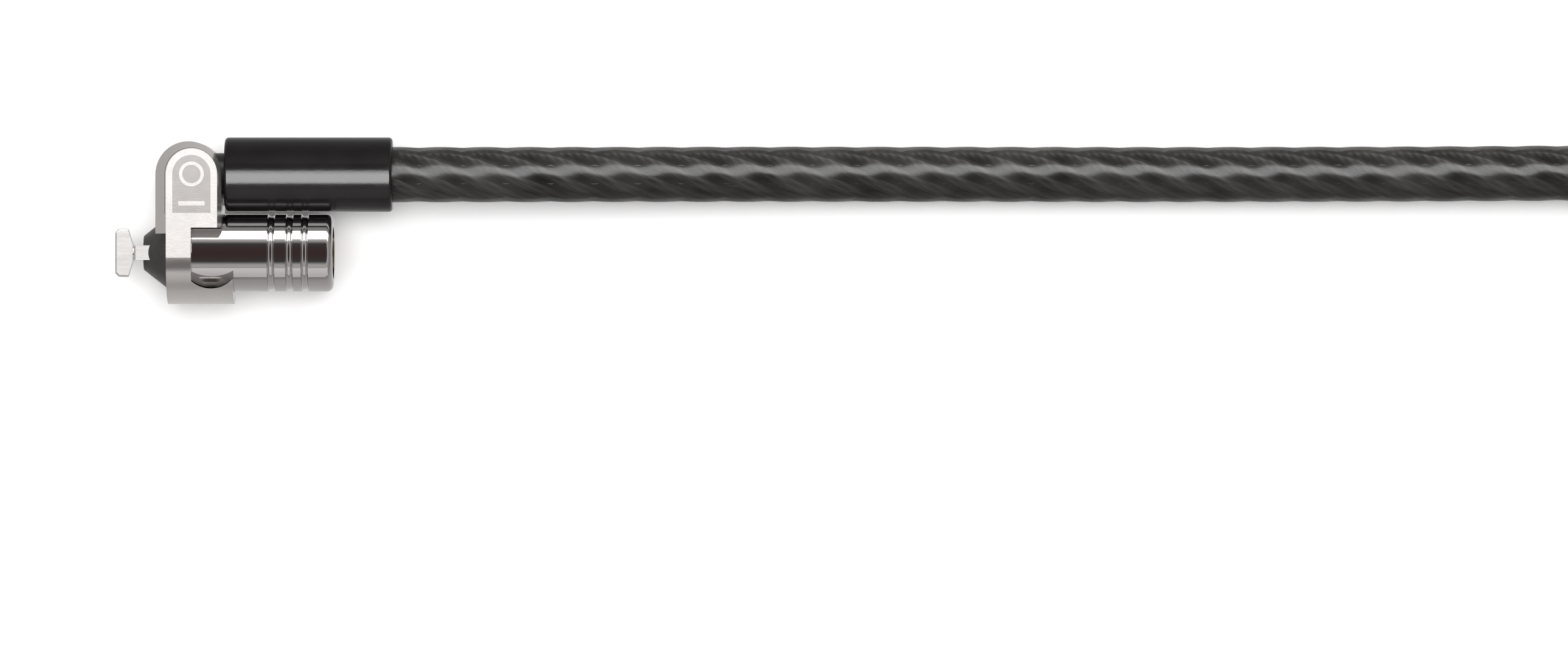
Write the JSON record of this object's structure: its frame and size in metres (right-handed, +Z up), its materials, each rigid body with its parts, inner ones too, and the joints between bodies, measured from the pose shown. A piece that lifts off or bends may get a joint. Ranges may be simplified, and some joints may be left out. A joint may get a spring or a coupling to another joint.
{
  "type": "laptop cable lock",
  "caption": "Keyed laptop cable lock: slotted-port T-bar barrel in a swinging bracket beside a black cable boot, with a coiled steel security cable and end loop.",
  "frame": {"origin": "bottom centre of the lock head's box (T-bar tip to the end of the cable boot), the table plane at z = 0, cable left out", "axes": "+X along the barrel from the T-bar to the keyway and on along the cable; +Y towards the cable side; +Z up, away from the table"},
  "size_m": [0.3465, 0.1111, 0.0162],
  "materials": {
    "zinc_bracket": "satin pearl nickel over cast zinc",
    "steel_pin": "ground steel",
    "steel_retainer": "ground steel",
    "acetal_washers": "black acetal",
    "barrel_plate": "polished nickel plate",
    "nose_gunmetal": "dark gunmetal satin",
    "prong_steel": "stamped hardened steel",
    "stop_steel": "turned steel",
    "t_bar_steel": "bright hardened steel",
    "cam_steel": "turned steel",
    "washer_steel": "ground steel",
    "plug_brass": "turned brass",
    "screw_steel": "zinc-plated steel",
    "housing_brass": "turned brass",
    "housing_pin_steel": "ground steel",
    "key_pin_steel": "ground steel",
    "driver_pin_steel": "ground steel",
    "spring_steel": "bright spring wire",
    "link_steel": "black-oxide steel",
    "ferrule_aluminium": "crimped aluminium",
    "bare_rope": "bare stranded steel",
    "boot_black": "satin black moulding",
    "cable_jacket": "smoked clear jacket over stranded steel",
    "coil_jacket": "smoked clear jacket over stranded steel",
    "tie_black": "black hook-and-loop strap",
    "tail_jacket": "smoked clear jacket over stranded steel",
    "sleeve_black": "satin black sleeve",
    "loop_jacket": "smoked clear jacket over stranded steel"
  },
  "bodies": {
    "cable": {"swivel_link": "link_steel", "crimp_ferrule": "ferrule_aluminium", "rope_end": "bare_rope", "boot": "boot_black", "cable": "cable_jacket", "cable_coil": "coil_jacket", "cable_tie": "tie_black", "cable_tail": "tail_jacket", "loop_ferrule": "sleeve_black", "end_loop": "loop_jacket"},
    "bracket": {"bracket": "zinc_bracket", "pivot_pin": "steel_pin", "retaining_pin": "steel_retainer", "pivot_washers": "acetal_washers"},
    "barrel": {"barrel_shell": "barrel_plate", "nose_cone": "nose_gunmetal", "prong_fork": "prong_steel", "stop_sleeve": "stop_steel", "tumbler_housing": "housing_brass", "housing_pin": "housing_pin_steel", "tumbler_springs": "spring_steel"},
    "bolt": {"t_bar_spindle": "t_bar_steel", "stop_cam": "cam_steel", "thrust_washer": "washer_steel", "key_plug": "plug_brass", "plug_screw": "screw_steel"},
    "key_pins": {"key_pins": "key_pin_steel"},
    "driver_pins": {"driver_pins": "driver_pin_steel"}
  },
  "joints": [
    {"name": "cable_swing", "type": "hinge", "parent": "cable", "child": "bracket", "pos_m": [-0.00875, 0.0066, 0.0063], "axis": [0, 0, -1], "range_deg": [0, 180]},
    {"name": "barrel_swivel", "type": "hinge", "parent": "bracket", "child": "barrel", "pos_m": [0, -0.0041, 0.0063], "axis": [1, 0, 0], "continuous": true},
    {"name": "bolt_turn", "type": "hinge", "parent": "barrel", "child": "bolt", "pos_m": [0, -0.0041, 0.0063], "axis": [1, 0, 0], "range_deg": [0, 90]},
    {"name": "key_pins_slide", "type": "slide", "parent": "bolt", "child": "key_pins", "axis": [1, 0, 0], "range_m": [0, 0.0007]},
    {"name": "driver_pins_slide", "type": "slide", "parent": "barrel", "child": "driver_pins", "axis": [1, 0, 0], "range_m": [0, 0.0007], "deforming": ["tumbler_springs"]}
  ],
  "couplings": [
    {"joint": "driver_pins_slide", "follows": "key_pins_slide", "ratio": 1}
  ]
}
